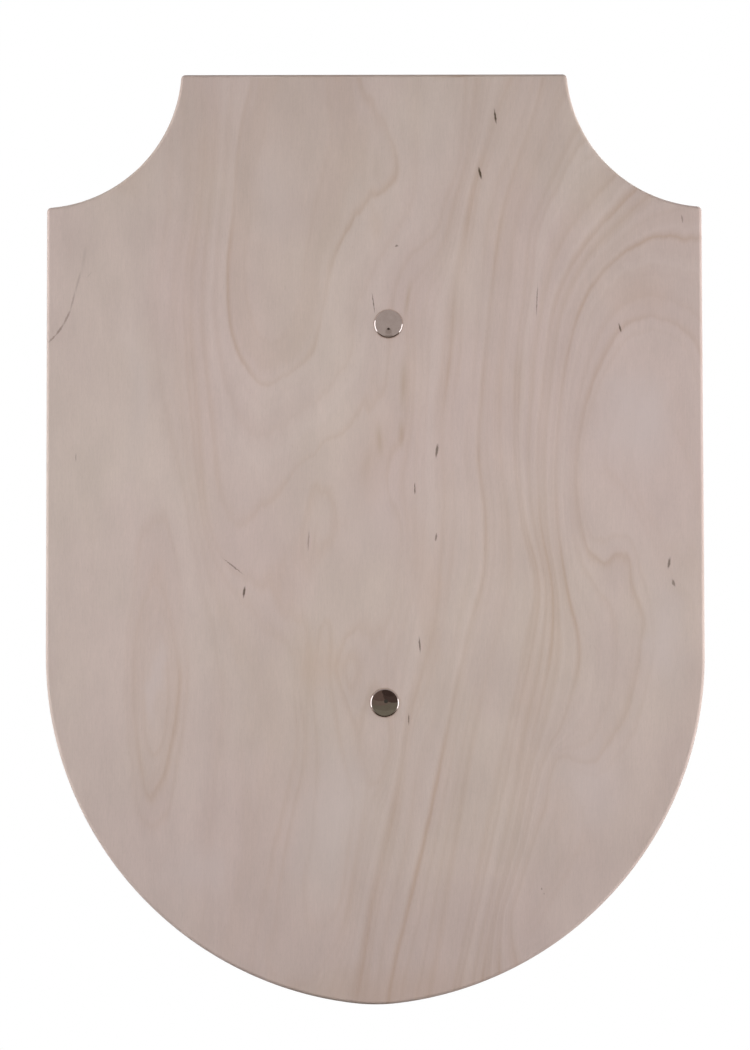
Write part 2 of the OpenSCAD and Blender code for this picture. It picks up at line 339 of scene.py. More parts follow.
def smooth_line(points, step=9.0):
    """Points about every step mm along a Catmull-Rom line through the given ones."""
    p = np.array(points, float)
    p = np.vstack((2 * p[0] - p[1], p, 2 * p[-1] - p[-2]))
    out = []
    for a, b, c, d in zip(p, p[1:], p[2:], p[3:]):
        n = max(1, round(float(np.linalg.norm(c - b)) / step))
        for t in np.linspace(0, 1, n, endpoint=False):
            out.append(0.5 * (2 * b + (c - a) * t + (2 * a - 5 * b + 4 * c - d) * t**2
                              + (3 * b - a - 3 * c + d) * t**3))
    out.append(p[-2])
    return np.array(out)


def ring_field():
    """A smooth function of (x, z) in mm that takes each drawn ring's level on its line."""
    at, level = [], []
    for value, points in RINGS + RING_PEGS:
        line = smooth_line(points)
        at.append(line)
        level.append(np.full(len(line), float(value)))
    at = np.vstack(at) * (1, ALONG_GRAIN)
    level = np.concatenate(level)

    def kernel(a, b):
        r = np.linalg.norm(a[:, None, :] - b[None, :, :], axis=2) / FIELD_SPAN
        return r**2 * np.log(r + 1e-9)

    n = len(at)
    plane = np.column_stack((np.ones(n), at / FIELD_SPAN))
    system = np.zeros((n + 3, n + 3))
    system[:n, :n] = kernel(at, at) + FIELD_SLACK * np.eye(n)
    system[:n, n:] = plane
    system[n:, :n] = plane.T
    weight = np.linalg.solve(system, np.concatenate((level, np.zeros(3))))

    def field(points):
        q = points * (1, ALONG_GRAIN)
        block = 4000
        out = []
        for part in np.array_split(q, max(1, len(q) // block)):
            flat = np.column_stack((np.ones(len(part)), part / FIELD_SPAN))
            out.append(kernel(part, at) @ weight[:n] + flat @ weight[n:])
        return np.concatenate(out)

    return field


def back_field(points):
    """The plainer figure of the back veneer: leaning rings round one long flame."""
    x, z = points[:, 0], points[:, 1]
    flame = 3.2 * np.exp(-(((x + 28) / 62) ** 2) - ((z + 40) / 190) ** 2)
    lean = 0.028 * (x + 0.12 * z) + 0.35 * np.sin(z / 71 + x / 55)
    return flame + lean


def paint_rings(obj, field):
    """Stores the ring level and its slope per mm on the vertices."""
    co = np.array([v.co for v in obj.data.vertices])[:, (0, 2)] / MM
    level = field(co)
    step = 0.5
    gx = (field(co + (step, 0)) - field(co - (step, 0))) / (2 * step)
    gz = (field(co + (0, step)) - field(co - (0, step))) / (2 * step)
    slope = np.hypot(gx, gz)
    for name, values in (("ring_level", level), ("ring_slope", slope)):
        layer = obj.data.attributes.new(name, "FLOAT", "POINT")
        layer.data.foreach_set("value", values.astype(np.float32))


# ---------------------------------------------------------------- hardware
def make_cap_nut(name, node):
    """Polished cap with a shallow dome and bullnose rim on a plain-bored barrel."""
    lo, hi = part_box(node)
    at = middle(node)
    cap_r = (hi.x - lo.x) / 2
    seat = FRONT_Y
    rise = lo.y - seat + CAP_DOME
    face_r = cap_r - CAP_RIM
    dome_r = (face_r**2 + CAP_DOME**2) / (2 * CAP_DOME)
    dome_a = math.asin(face_r / dome_r)
    end = hi.y - seat
    ease = 0.3 * MM
    profile = [(dome_r * math.sin(t), lo.y - seat + dome_r * (1 - math.cos(t)))
               for t in np.linspace(0, dome_a, 20)]
    profile += [(face_r + CAP_RIM * math.sin(t), rise + CAP_RIM * (1 - math.cos(t)))
                for t in np.linspace(0, math.pi / 2, 16)[1:]]
    profile += rounded([
        (cap_r, -ease), (cap_r, 0), (BARREL_R, 0), (BARREL_R, end - ease),
        (BARREL_R - ease, end), (BORE_R, end), (BORE_R, BORE_START + BORE_R / 2), (0, BORE_START),
    ], 0.1 * MM, 3)
    return turned(name, profile, Vector((at.x, seat, at.z)), 128)


def slot_cutter(length, place, turn):
    """The bar that mills a screw's slot, its long edges eased, turned about +Y."""
    width = 1.1 * MM
    bm = bmesh.new()
    bmesh.ops.create_cube(bm, size=1.0)
    bmesh.ops.scale(bm, vec=(length, width, width), verts=bm.verts)
    long_edges = [e for e in bm.edges if abs(e.verts[0].co.x - e.verts[1].co.x) > 1e-6]
    bmesh.ops.bevel(bm, geom=long_edges, offset=0.08 * MM, segments=2, affect="EDGES")
    bmesh.ops.rotate(bm, matrix=Matrix.Rotation(math.radians(turn), 3, "Y"), verts=bm.verts)
    bmesh.ops.translate(bm, vec=place, verts=bm.verts)
    mesh = bpy.data.meshes.new("slot")
    bm.to_mesh(mesh)
    bm.free()
    slot = bpy.data.objects.new("slot", mesh)
    scene.collection.objects.link(slot)
    return slot


def make_thread(name, at, seat, length):
    """A rolled thread of the given length below the seat, tapered at its tip."""
    around, per_turn = 40, 16
    start, tip_gap = 0.35 * MM, 0.4 * MM
    long = length - tip_gap
    rows = int(long / THREAD_PITCH * per_turn) + 1
    verts, faces = [], []
    for i in range(rows):
        y = -start - long * i / (rows - 1)
        taper = min(1.0, (rows - 1 - i) / (per_turn * 1.2)) * 0.35 + 0.65
        for k in range(around):
            phase = (y / THREAD_PITCH - k / around) % 1.0
            r = (SHANK_R - THREAD_DEPTH * abs(2 * phase - 1) ** 0.8) * taper
            t = 2 * math.pi * k / around
            verts.append((at.x + r * math.cos(t), seat + y, at.z + r * math.sin(t)))
    for i in range(rows - 1):
        for k in range(around):
            j = (k + 1) % around
            a, b = i * around, (i + 1) * around
            faces.append([a + k, a + j, b + j, b + k])
    faces.append(list(range(around)))
    faces.append(list(range((rows - 1) * around, rows * around)))
    return new_object(name, verts, faces, 60)


def make_screw(name, node, turn):
    """Slotted binding screw: its pan head and its rolled thread."""
    lo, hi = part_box(node)
    at = middle(node)
    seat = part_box(node.replace("screw", "washer"))[1].y
    head_r, head_h = (hi.x - lo.x) / 2, hi.y - seat
    neck_r, neck = SHANK_R - 0.1 * MM, 0.4 * MM
    head = turned(name, rounded([
        (0, -neck), (neck_r, -neck), (neck_r, 0), (head_r, 0),
        (head_r, head_h * 0.55), (head_r * 0.72, head_h * 0.93), (0, head_h),
    ], 0.5 * MM, 5), Vector((at.x, seat, at.z)), 96)
    slot_y = hi.y - 0.45 * MM
    cut(head, slot_cutter(head_r * 3, (at.x, slot_y, at.z), turn), 30)
    return head, make_thread(name + "_thread", at, seat, seat - lo.y)


def make_washer(name, node):
    """Stamped flat washer, its outer edge rolled over on the screw's side."""
    lo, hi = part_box(node)
    outer, inner, thick = (hi.x - lo.x) / 2, WASHER_BORE_R, hi.y - lo.y
    e = 0.12 * MM
    profile = [(inner, e), (inner + e, 0), (outer - e, 0), (outer, e), (outer, thick - 2 * e),
               (outer - 2 * e, thick), (inner + e, thick), (inner, thick - e)]
    at = middle(node)
    return turned(name, profile, Vector((at.x, lo.y, at.z)), 96, 20)


def make_bumper(name, node):
    """Moulded rubber button: soft shoulder, slightly dished face, one flash ring."""
    lo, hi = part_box(node)
    at = middle(node)
    base_r, h = (hi.x - lo.x) / 2, hi.y - lo.y
    core = 0.2 * MM
    profile = [(0, 0)] + rounded([
        (core, 0), (base_r - 0.3 * MM, 0), (base_r, 0.5 * MM), (base_r - 0.15 * MM, 1.1 * MM),
        (base_r - 0.35 * MM, 1.3 * MM), (base_r - 0.9 * MM, h - 1.2 * MM),
        (base_r - 1.6 * MM, h - 0.1 * MM), (base_r - 2.4 * MM, h), (base_r - 3.2 * MM, h),
        (base_r - 3.9 * MM, h - 0.25 * MM), (core, h - 0.3 * MM),
    ], 0.6 * MM, 5) + [(0, h - 0.3 * MM)]
    return turned(name, profile, Vector((at.x, lo.y, at.z)), 96, 50)


def make_pad(name, node):
    """Foam tape disc under a bumper, its cut edge bulging a little."""
    lo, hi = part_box(node)
    at = middle(node)
    r, h = (hi.x - lo.x) / 2, hi.y - lo.y
    bulge = 0.12 * MM
    edge = [(r - bulge + bulge * math.sin(math.pi * t), h * t)
            for t in np.linspace(0, 1, 9)]
    return turned(name, [(0, 0)] + edge + [(0, h)], Vector((at.x, lo.y, at.z)), 96, 50)


def make_bridge(name, node):
    """The pressed steel bridge, its blanked edges eased."""
    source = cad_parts[node]
    obj = bpy.data.objects.new(name, source.data.copy())
    scene.collection.objects.link(obj)
    obj.data.materials.clear()
    bm = bmesh.new()
    bm.from_mesh(obj.data)
    bmesh.ops.remove_doubles(bm, verts=bm.verts, dist=2e-6)
    bmesh.ops.dissolve_limit(bm, angle_limit=math.radians(1.0), verts=bm.verts, edges=bm.edges,
                             delimit={"NORMAL"})
    bm.to_mesh(obj.data)
    bm.free()
    bevel = obj.modifiers.new("eased", "BEVEL")
    bevel.width = 0.22 * MM
    bevel.segments = 3
    bevel.limit_method = "ANGLE"
    bevel.angle_limit = math.radians(50)
    apply_modifiers(obj)
    finish_mesh(obj, 30)
    even = obj.modifiers.new("even", "WEIGHTED_NORMAL")
    even.keep_sharp = True
    even.weight = 90
    apply_modifiers(obj)
    return obj


# ---------------------------------------------------------------- node helpers
class Tree:
    """A small writer for one material's nodes."""

    def __init__(self, name):
        self.mat = bpy.data.materials.new(name)
        self.mat.use_nodes = True
        self.nodes = self.mat.node_tree.nodes
        self.links = self.mat.node_tree.links
        self.bsdf = self.nodes["Principled BSDF"]
        self.count = 0

    def add(self, kind, **props):
        """A new node with the given properties."""
        node = self.nodes.new(kind)
        node.location = (-220 * (1 + self.count // 6), 300 - 160 * (self.count % 6))
        self.count += 1
        for key, value in props.items():
            setattr(node, key, value)
        return node

    def feed(self, socket, value):
        """Links another node's socket, or sets a plain value."""
        if isinstance(value, bpy.types.NodeSocket):
            self.links.new(value, socket)
        else:
            socket.default_value = value

    def math(self, op, a, b=0.0, c=0.0):
        """One sum of up to three sockets or numbers."""
        node = self.add("ShaderNodeMath", operation=op)
        for socket, value in zip(node.inputs, (a, b, c)):
            self.feed(socket, value)
        return node.outputs[0]

    def ramp(self, value, lo, hi, out_lo=0.0, out_hi=1.0, smooth=True):
        """Value mapped from lo..hi to out_lo..out_hi, held at both ends."""
        node = self.add("ShaderNodeMapRange")
        node.interpolation_type = "SMOOTHSTEP" if smooth else "LINEAR"
        for key, v in (("Value", value), ("From Min", lo), ("From Max", hi),
                       ("To Min", out_lo), ("To Max", out_hi)):
            self.feed(node.inputs[key], v)
        return node.outputs["Result"]

    def spread(self, value, lo, hi):
        """A noise's usual reach mapped to lo..hi in a straight line."""
        return self.ramp(value, 0.3, 0.7, lo, hi, smooth=False)

    def mix(self, fac, a, b, blend="MIX"):
        """Colour a with colour b laid over it by fac."""
        node = self.add("ShaderNodeMix", data_type="RGBA", blend_type=blend)
        self.feed(node.inputs["Factor"], fac)
        self.feed(node.inputs["A"], a)
        self.feed(node.inputs["B"], b)
        return node.outputs["Result"]

    def where(self):
        """Position in the part's frame, in millimetres."""
        coord = self.add("ShaderNodeTexCoord")
        scale = self.add("ShaderNodeVectorMath", operation="SCALE")
        self.links.new(coord.outputs["Object"], scale.inputs[0])
        scale.inputs["Scale"].default_value = 1 / MM
        return scale.outputs[0]

    def place(self, vector, scale=(1, 1, 1), location=(0, 0, 0), rotation=(0, 0, 0), kind="POINT"):
        """The vector scaled, turned and moved."""
        node = self.add("ShaderNodeMapping", vector_type=kind)
        self.links.new(vector, node.inputs["Vector"])
        node.inputs["Location"].default_value = location
        node.inputs["Rotation"].default_value = rotation
        node.inputs["Scale"].default_value = scale
        return node.outputs[0]

    def noise(self, vector, scale, detail, rough, colour=False):
        """Even noise, as one value or as three."""
        node = self.add("ShaderNodeTexNoise")
        self.links.new(vector, node.inputs["Vector"])
        node.inputs["Scale"].default_value = scale
        node.inputs["Detail"].default_value = detail
        node.inputs["Roughness"].default_value = rough
        return node.outputs["Color" if colour else "Fac"]

    def grain(self, vector, scale, detail, rough, shift=(0, 0, 0), colour=False):
        """Noise with its own scale along each axis."""
        return self.noise(self.place(vector, scale, shift), 1.0, detail, rough, colour)

    def cells(self, vector, scale, feature):
        """Distance to the nearest of many scattered points."""
        node = self.add("ShaderNodeTexVoronoi", feature=feature)
        self.links.new(self.place(vector, (scale,) * 3), node.inputs["Vector"])
        node.inputs["Scale"].default_value = 1.0
        return node.outputs["Distance"]

    def rings(self, level, often):
        """Smooth random tone that changes only with the ring level."""
        node = self.add("ShaderNodeTexNoise", noise_dimensions="1D")
        self.links.new(level, node.inputs["W"])
        node.inputs["Scale"].default_value = often
        node.inputs["Detail"].default_value = 2.0
        return node.outputs["Fac"]

    def bump(self, height, strength, distance):
        """A normal roughened by a height."""
        node = self.add("ShaderNodeBump")
        node.inputs["Strength"].default_value = strength
        node.inputs["Distance"].default_value = distance
        self.links.new(height, node.inputs["Height"])
        return node.outputs[0]

    def out(self, **sockets):
        """Feeds the shader's sockets, named with _ for each space."""
        for key, value in sockets.items():
            self.feed(self.bsdf.inputs[key.replace("_", " ")], value)
        return self.mat


def grey(value):
    """An even tone."""
    return (value, value, value, 1.0)


def scaled(tone, by):
    """A tone made lighter or darker."""
    return (*[min(1.0, c * by) for c in tone[:3]], 1.0)


# ---------------------------------------------------------------- wood
# Marks on the face: x, z, half length and half width in mm, lean from upright in
# degrees, strength. First the dark pith flecks and dashes.
FLECKS = (
    (55, 180, 4.2, 0.62, -8, 1.0), (48, 154, 3.6, 0.75, -14, 1.0), (10, 121, 0.5, 1.1, 0, 0.6),
    (73.5, 96, 9.0, 0.32, 3, 0.55), (111, 83.5, 2.6, 0.55, -14, 0.85), (-0.5, 95, 5.6, 0.32, -7, 0.75),
    (28, 28, 4.0, 0.85, 7, 0.75), (18, 11, 3.4, 0.42, 0, 0.8), (27.5, -11, 2.4, 0.6, 8, 0.65),
    (132.5, -23, 3.3, 0.8, 10, 0.7), (134.5, -32, 2.3, 0.8, -18, 0.6), (20, -59.5, 4.6, 0.5, -4, 0.75),
    (15, -93, 3.2, 0.4, 0, 0.75), (-30, -12.5, 5.8, 0.45, 3, 0.4), (-64, -24, 7.0, 0.4, -52, 0.6),
    (-59, -35.5, 3.4, 0.7, 8, 0.9), (-135, 25.5, 2.6, 0.4, 0, 0.4), (74.5, -169, 0.7, 0.5, 0, 0.5),
    (75.5, -171, 0.5, 0.45, 0, 0.4), (139.5, 133, 2.4, 0.5, -8, 0.4),
)
# The curved crack at the left side.
CRACK = (
    (-131.5, 116, 9.0, 1.0, 9, 0.12), (-134.2, 105, 6.6, 0.7, 15, 0.26),
    (-136.6, 96.3, 6.2, 0.6, 14, 0.36), (-139.3, 88.6, 5.2, 0.75, 27, 0.50),
    (-142.5, 83.1, 4.4, 0.7, 36, 0.58), (-145.7, 79.3, 3.4, 0.55, 45, 0.52),
    (-129.2, 108, 2.4, 0.4, 40, 0.2),
)
# Brown streaks.
STAINS = (
    (13, 58, 18, 2.6, 2, 0.40), (12, 36, 10, 2.4, 0, 0.38), (2, 33, 11, 2.6, -4, 0.34),
    (15, 97, 13, 1.8, 9, 0.30), (-4, 22, 14, 3.4, 12, 0.14), (-30, -78, 30, 2.8, 3, 0.14),
    (36, 90, 24, 1.6, 2, 0.12),
)
# Broad pale and broad warm places in the figure; the last two warm places are painted shade that darkens
# the top middle and the bottom tip.
PALE = (
    (116, 44, 38, 20, 0, 0.45), (-19, -141, 42, 22, 3, 0.35), (129, -54, 34, 14, -8, 0.35),
    (-98, -76, 26, 6, 0, 0.35), (-78, -164, 24, 18, 0, 0.3), (98, -128, 28, 18, -14, 0.3),
    (-40, 140, 36, 16, 0, 0.2), (-108, 60, 60, 12, 0, 0.2), (0, 0, 30, 20, 10, 0.2),
)
WARM_AND_PAINTED_SHADE = (
    (-26, -68, 26, 16, 0, 0.30), (-3, 134, 10, 8, 0, 0.2), (-72, 162, 40, 16, 0, 0.12),
    (62, 148, 44, 16, 12, 0.08), (0, 20, 44, 16, 6, 0.22), (22, -40, 60, 9, -4, 0.22),
    (118, 104, 14, 26, 0, 0.22), (-112, 158, 22, 16, 0, 0.2), (66, -90, 60, 10, 6, 0.2),
    # Painted shade: two wide bands that darken the board along its top middle and at its bottom tip.
    (0, 206, 11, 90, 0, 0.6), (0, -214, 18, 80, 0, 0.3),
)
# Places where the rings curl most.
CURLS = ((-14, 30, 62, 30, 0, 1.0), (-8, 70, 40, 20, 0, 0.8))

BIRCH = (0.54, 0.444, 0.394, 1.0)
ROSY = (0.54, 0.429, 0.397, 1.0)
BACK_BIRCH = (0.545, 0.438, 0.376, 1.0)
BACK_ROSY = (0.54, 0.422, 0.368, 1.0)
PALE_BAND = (0.64, 0.55, 0.515, 1.0)
DARK_BAND = (0.46, 0.345, 0.275, 1.0)
RING_LINE = (0.40, 0.26, 0.175, 1.0)
PORE_TONE = (0.23, 0.15, 0.11, 1.0)
PIN_TONE = (0.28, 0.19, 0.14, 1.0)
PALE_TONE = (0.565, 0.485, 0.475, 1.0)
# Tone of the warm places, and of the painted shade at the top middle and the bottom tip.
WARM_AND_SHADE_TONE = (0.475, 0.335, 0.255, 1.0)
STAIN_TONE = (0.36, 0.25, 0.155, 1.0)
CRACK_TONE = (0.17, 0.11, 0.085, 1.0)
FLECK_TONE = (0.082, 0.052, 0.030, 1.0)
GLUE_TONE = (0.16, 0.095, 0.06, 1.0)
# An inner sheet's material slot: the way its fibres run, its pale and its dark tone.
EDGE_WOOD = {
    "cross_veneer": ("x", (0.44, 0.31, 0.22, 1.0), (0.30, 0.19, 0.12, 1.0)),
    "long_veneer": ("z", (0.56, 0.44, 0.34, 1.0), (0.45, 0.34, 0.25, 1.0)),
}


def spots(tree, vector, marks, soft):
    """One mask of small upright ellipses, each faded from soft to its rim."""
    mask = None
    for x, z, along, across, lean, strength in marks:
        local = tree.place(vector, (across, 1000, along), (x, 0, z), (0, math.radians(lean), 0),
                           "TEXTURE")
        far = tree.add("ShaderNodeVectorMath", operation="LENGTH")
        tree.links.new(local, far.inputs[0])
        one = tree.ramp(far.outputs["Value"], 1.0, soft, 0.0, strength)
        mask = one if mask is None else tree.math("MAXIMUM", mask, one)
    return mask


def shaken(t, vector, scale, detail, rough, reach):
    """The vector moved about by noise, up to half of reach each way."""
    node = t.add("ShaderNodeVectorMath", operation="MULTIPLY_ADD")
    t.links.new(t.grain(vector, scale, detail, rough, colour=True), node.inputs[0])
    node.inputs[1].default_value = reach
    t.links.new(t.place(vector, location=[-r / 2 for r in reach]), node.inputs[2])
    return node.outputs[0]


def ring_position(t, p):
    """The stored ring level made uneven, its slope per mm, and the ripple in it."""
    wander = t.grain(p, (0.045, 0.2, 0.012), 3.0, 0.55)
    level = t.add("ShaderNodeAttribute", attribute_name="ring_level").outputs["Fac"]
    slope = t.add("ShaderNodeAttribute", attribute_name="ring_slope").outputs["Fac"]
    slope = t.math("MAXIMUM", slope, 0.02)
    ripple = t.grain(p, (0.28, 0.3, 0.05), 2.0, 0.5)
    sway = t.math("MULTIPLY_ADD", spots(t, p, CURLS, 0.2), 0.55, 0.16)
    level = t.math("ADD", level, t.math("MULTIPLY", t.math("SUBTRACT", wander, 0.5), sway))
    level = t.math("MULTIPLY_ADD", t.math("SUBTRACT", ripple, 0.5), 0.07, level)
    return level, slope, ripple


def ring_lines(t, p, level, slope):
    """Dark lines at the whole levels and fainter ones between them, sharper on one side."""
    fade = t.ramp(t.grain(p, (0.022, 0.05, 0.013), 2.0, 0.5, (7, 0, 90)), 0.36, 0.62, 0.3, 1.0)
    lines = None
    for every, depth in ((1.0, 1.0), (0.37, 0.45)):
        here = t.math("DIVIDE", level, every)
        part = t.math("FRACT", here)
        after = t.math("DIVIDE", t.math("MULTIPLY", part, every), slope)
        before = t.math("DIVIDE", t.math("MULTIPLY", t.math("SUBTRACT", 1.0, part), every), slope)
        near = t.math("MINIMUM", t.math("MULTIPLY", after, 1.3), t.math("MULTIPLY", before, 0.75))
        line = t.math("EXPONENT", t.math("MULTIPLY", t.math("MULTIPLY", near, near), -0.8))
        white = t.add("ShaderNodeTexWhiteNoise", noise_dimensions="1D")
        t.links.new(t.math("ROUND", here), white.inputs["W"])
        power = t.ramp(white.outputs["Value"], 0.0, 1.0, 0.35 * depth, depth, smooth=False)
        line = t.math("MULTIPLY", line, t.math("MULTIPLY", power, fade))
        lines = line if lines is None else t.math("ADD", lines, line)
    return lines


def ring_bands(t, level, ripple):
    """Masks of the pale and of the dark bands that follow the rings."""
    bands = t.rings(t.math("MULTIPLY_ADD", ripple, 0.16, level), 2.6)
    broad = t.rings(level, 0.9)
    bands = t.math("MULTIPLY_ADD", broad, 0.4, t.math("MULTIPLY", bands, 0.8))
    return t.ramp(bands, 0.56, 0.86), t.ramp(bands, 0.60, 0.34)


def base_wood(t, p, tone, rosy):
    """The two tones of the wood in broad patches, with the rings over them."""
    level, slope, ripple = ring_position(t, p)
    lines = ring_lines(t, p, level, slope)
    glow, shadow = ring_bands(t, level, ripple)
    patch = t.grain(p, (0.011, 0.05, 0.008), 2.5, 0.5)
    blush = t.grain(p, (0.03, 0.05, 0.018), 2.0, 0.5, (40, 0, 13))
    colour = t.mix(t.ramp(patch, 0.35, 0.65), tone, rosy)
    colour = t.mix(t.ramp(blush, 0.4, 0.66, 0.0, 0.4), colour, scaled(rosy, 0.965))
    for mask, strength, over in ((glow, 0.26, PALE_BAND), (shadow, 0.22, DARK_BAND),
                                 (lines, 0.40, RING_LINE)):
        colour = t.mix(t.math("MULTIPLY", mask, strength), colour, over)
    return colour


def mark_face(t, p, colour):
    """Lays the pale and warm places, the painted shade at the top and the bottom, the streaks, the crack
    and the flecks over a colour.
    """
    ragged = shaken(t, p, (1.6, 1.6, 0.7), 2.0, 0.5, (0.7, 0.0, 1.4))
    drifting = shaken(t, p, (0.03, 0.03, 0.02), 3.0, 0.6, (40.0, 0.0, 40.0))
    for vector, marks, soft, over in (
        (drifting, PALE, 0.1, PALE_TONE), (drifting, WARM_AND_PAINTED_SHADE, 0.0, WARM_AND_SHADE_TONE),
        (ragged, STAINS, 0.0, STAIN_TONE), (ragged, CRACK, 0.3, CRACK_TONE),
        (ragged, FLECKS, 0.35, FLECK_TONE),
    ):
        colour = t.mix(spots(t, vector, marks, soft), colour, over)
    return colour


def veneer(name, tone, rosy, marked=False):
    """Bare sanded birch veneer, grain upright, with the drawn rings and marks."""
    t = Tree(name)
    p = t.where()
    fibre = t.grain(p, (1.5, 2.0, 0.10), 4.0, 0.62)
    silk = t.grain(p, (3.2, 3.0, 0.5), 2.0, 0.6)
    mottle = t.grain(p, (0.085, 0.1, 0.035), 2.0, 0.5)
    pores = t.ramp(t.grain(p, (3.4, 2.0, 0.22), 1.0, 0.4), 0.68, 0.78)
    pins = t.ramp(t.grain(p, (11.0, 4.0, 0.6), 1.0, 0.5, (3, 0, 5)), 0.66, 0.72)

    shade = t.math("MULTIPLY", t.spread(fibre, 0.970, 1.030), t.spread(silk, 0.974, 1.026))
    shade = t.math("MULTIPLY", shade, t.spread(mottle, 0.962, 1.038))
    tint = t.add("ShaderNodeCombineColor")
    for socket in tint.inputs:
        t.feed(socket, shade)
    colour = t.mix(1.0, base_wood(t, p, tone, rosy), tint.outputs[0], "MULTIPLY")
    colour = t.mix(t.math("MULTIPLY", pores, 0.17), colour, PORE_TONE)
    colour = t.mix(t.math("MULTIPLY", pins, 0.28), colour, PIN_TONE)
    if marked:
        colour = mark_face(t, p, colour)
    height = t.math("MULTIPLY_ADD", fibre, 0.6, t.math("MULTIPLY", silk, 0.4))
    height = t.math("MULTIPLY_ADD", pores, -0.7, height)
    height = t.math("MULTIPLY_ADD", pins, -0.8, height)
    return t.out(Base_Color=colour, Roughness=t.spread(fibre, 0.5, 0.64), Specular_IOR_Level=0.32,
                 Normal=t.bump(height, 0.35, 0.05 * MM))


def cut_edge(name, along, pale, dark, lo_y, hi_y):
    """An inner sheet's cut edge: fibres run along the given axis, and a thin glue line
    shows at both of its faces."""
    t = Tree(name)
    p = t.where()
    run = {"x": (0.06, 1.6, 1.6), "z": (1.6, 1.6, 0.06)}[along]
    fine = {"x": (0.5, 5.5, 5.5), "z": (5.5, 5.5, 0.5)}[along]
    fibre = t.grain(p, run, 4.0, 0.6)
    pore = t.grain(p, fine, 2.0, 0.5)
    patch = t.grain(p, (0.03, 0.3, 0.03), 2.0, 0.5)
    colour = t.mix(t.ramp(fibre, 0.32, 0.68), dark, pale)
    colour = t.mix(t.ramp(patch, 0.35, 0.7, 0.0, 0.35), colour, scaled(dark, 0.8))
    pores = t.ramp(pore, 0.58, 0.7)
    colour = t.mix(t.math("MULTIPLY", pores, 0.45), colour, scaled(dark, 0.38))
    split = t.add("ShaderNodeSeparateXYZ")
    t.links.new(p, split.inputs[0])
    y = split.outputs["Y"]
    inner = t.math("MINIMUM", t.math("SUBTRACT", y, lo_y / MM), t.math("SUBTRACT", hi_y / MM, y))
    wavy = t.math("MULTIPLY_ADD", t.math("SUBTRACT", fibre, 0.5), 0.12, inner)
    glue = t.ramp(wavy, 0.1, 0.03)
    colour = t.mix(t.math("MULTIPLY", glue, 0.6), colour, GLUE_TONE)
    height = t.math("SUBTRACT", t.math("MULTIPLY", fibre, 0.6), t.math("MULTIPLY", pores, 0.5))
    return t.out(Base_Color=colour, Roughness=t.spread(fibre, 0.6, 0.8), Specular_IOR_Level=0.3,
                 Normal=t.bump(height, 0.5, 0.06 * MM))


# ---------------------------------------------------------------- metal, rubber, foam
def nickel():
    """Bright nickel plate with faint haze, wipe marks and hairline scratches."""
    t = Tree("polished_nickel")
    p = t.where()
    haze = t.grain(p, (0.35, 0.35, 0.35), 3.0, 0.6)
    wipe = t.noise(t.place(p, (0.5, 0.5, 9.0), rotation=(0, math.radians(33), 0)), 1.0, 3.0, 0.6)
    hair = t.noise(t.place(p, (30.0, 4.0, 0.7), rotation=(0, math.radians(-21), 0)), 1.0, 1.0, 0.3)
    scratch = t.ramp(hair, 0.7, 0.76)
    colour = t.mix(t.ramp(haze, 0.3, 0.7), (0.70, 0.62, 0.555, 1.0), (0.745, 0.67, 0.60, 1.0))
    rough = t.math("ADD", t.spread(haze, 0.035, 0.075),
                   t.math("MULTIPLY", scratch, 0.12))
    rough = t.math("ADD", rough, t.ramp(wipe, 0.5, 0.75, 0.0, 0.03))
    return t.out(Base_Color=colour, Metallic=1.0, Roughness=rough,
                 Normal=t.bump(t.math("MULTIPLY", wipe, -0.4), 0.05, 0.01 * MM))


def zinc_plate(name, base, spangle, brushed):
    """Zinc plated pressed steel: blotchy passivation, fine rolling marks, dull bite."""
    t = Tree(name)
    p = t.where()
    cell = t.cells(p, spangle, "SMOOTH_F1")
    blotch = t.grain(p, (0.09, 0.3, 0.06), 4.0, 0.6)
    roll = t.grain(p, brushed, 3.0, 0.6)
    speck = t.grain(p, (2.2, 2.2, 2.2), 2.0, 0.5)
    colour = t.mix(t.ramp(blotch, 0.35, 0.68), base, scaled(base, 1.07))
    colour = t.mix(t.math("MULTIPLY", cell, 0.14), colour, (0.42, 0.43, 0.46, 1.0))
    colour = t.mix(t.ramp(speck, 0.7, 0.8, 0.0, 0.35), colour, (0.3, 0.29, 0.28, 1.0))
    rough = t.math("ADD", t.spread(roll, 0.29, 0.37),
                   t.ramp(blotch, 0.4, 0.7, 0.0, 0.06))
    return t.out(Base_Color=colour, Metallic=1.0, Roughness=rough, Normal=t.bump(roll, 0.12, 0.02 * MM))


def rubber():
    """Matt moulded rubber with patchy bloom."""
    t = Tree("bumper_rubber")
    p = t.where()
    grain = t.grain(p, (4.0, 4.0, 4.0), 4.0, 0.6)
    bloom = t.grain(p, (0.4, 0.4, 0.4), 3.0, 0.6)
    colour = t.mix(t.ramp(bloom, 0.4, 0.72), (0.024, 0.024, 0.025, 1.0), (0.038, 0.038, 0.04, 1.0))
    return t.out(Base_Color=colour, Roughness=t.spread(grain, 0.55, 0.8), Specular_IOR_Level=0.35,
                 Normal=t.bump(grain, 0.4, 0.05 * MM))


def foam():
    """White closed-cell foam tape."""
    t = Tree("foam_tape")
    p = t.where()
    cell = t.cells(p, 5.0, "F1")
    dirt = t.grain(p, (0.5, 0.5, 0.5), 3.0, 0.6)
    colour = t.mix(t.ramp(dirt, 0.4, 0.75, 0.0, 0.5), (0.78, 0.77, 0.73, 1.0), (0.6, 0.57, 0.5, 1.0))
    return t.out(Base_Color=colour, Roughness=t.spread(dirt, 0.7, 0.85),
                 Normal=t.bump(cell, 0.5, 0.05 * MM))


# ---------------------------------------------------------------- assemble
def dress(obj, material, node):
    """Gives a piece its material and the CAD node it stands for."""
    obj.data.materials.clear()
    obj.data.materials.append(material)
    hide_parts(node)
    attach(obj, "root")


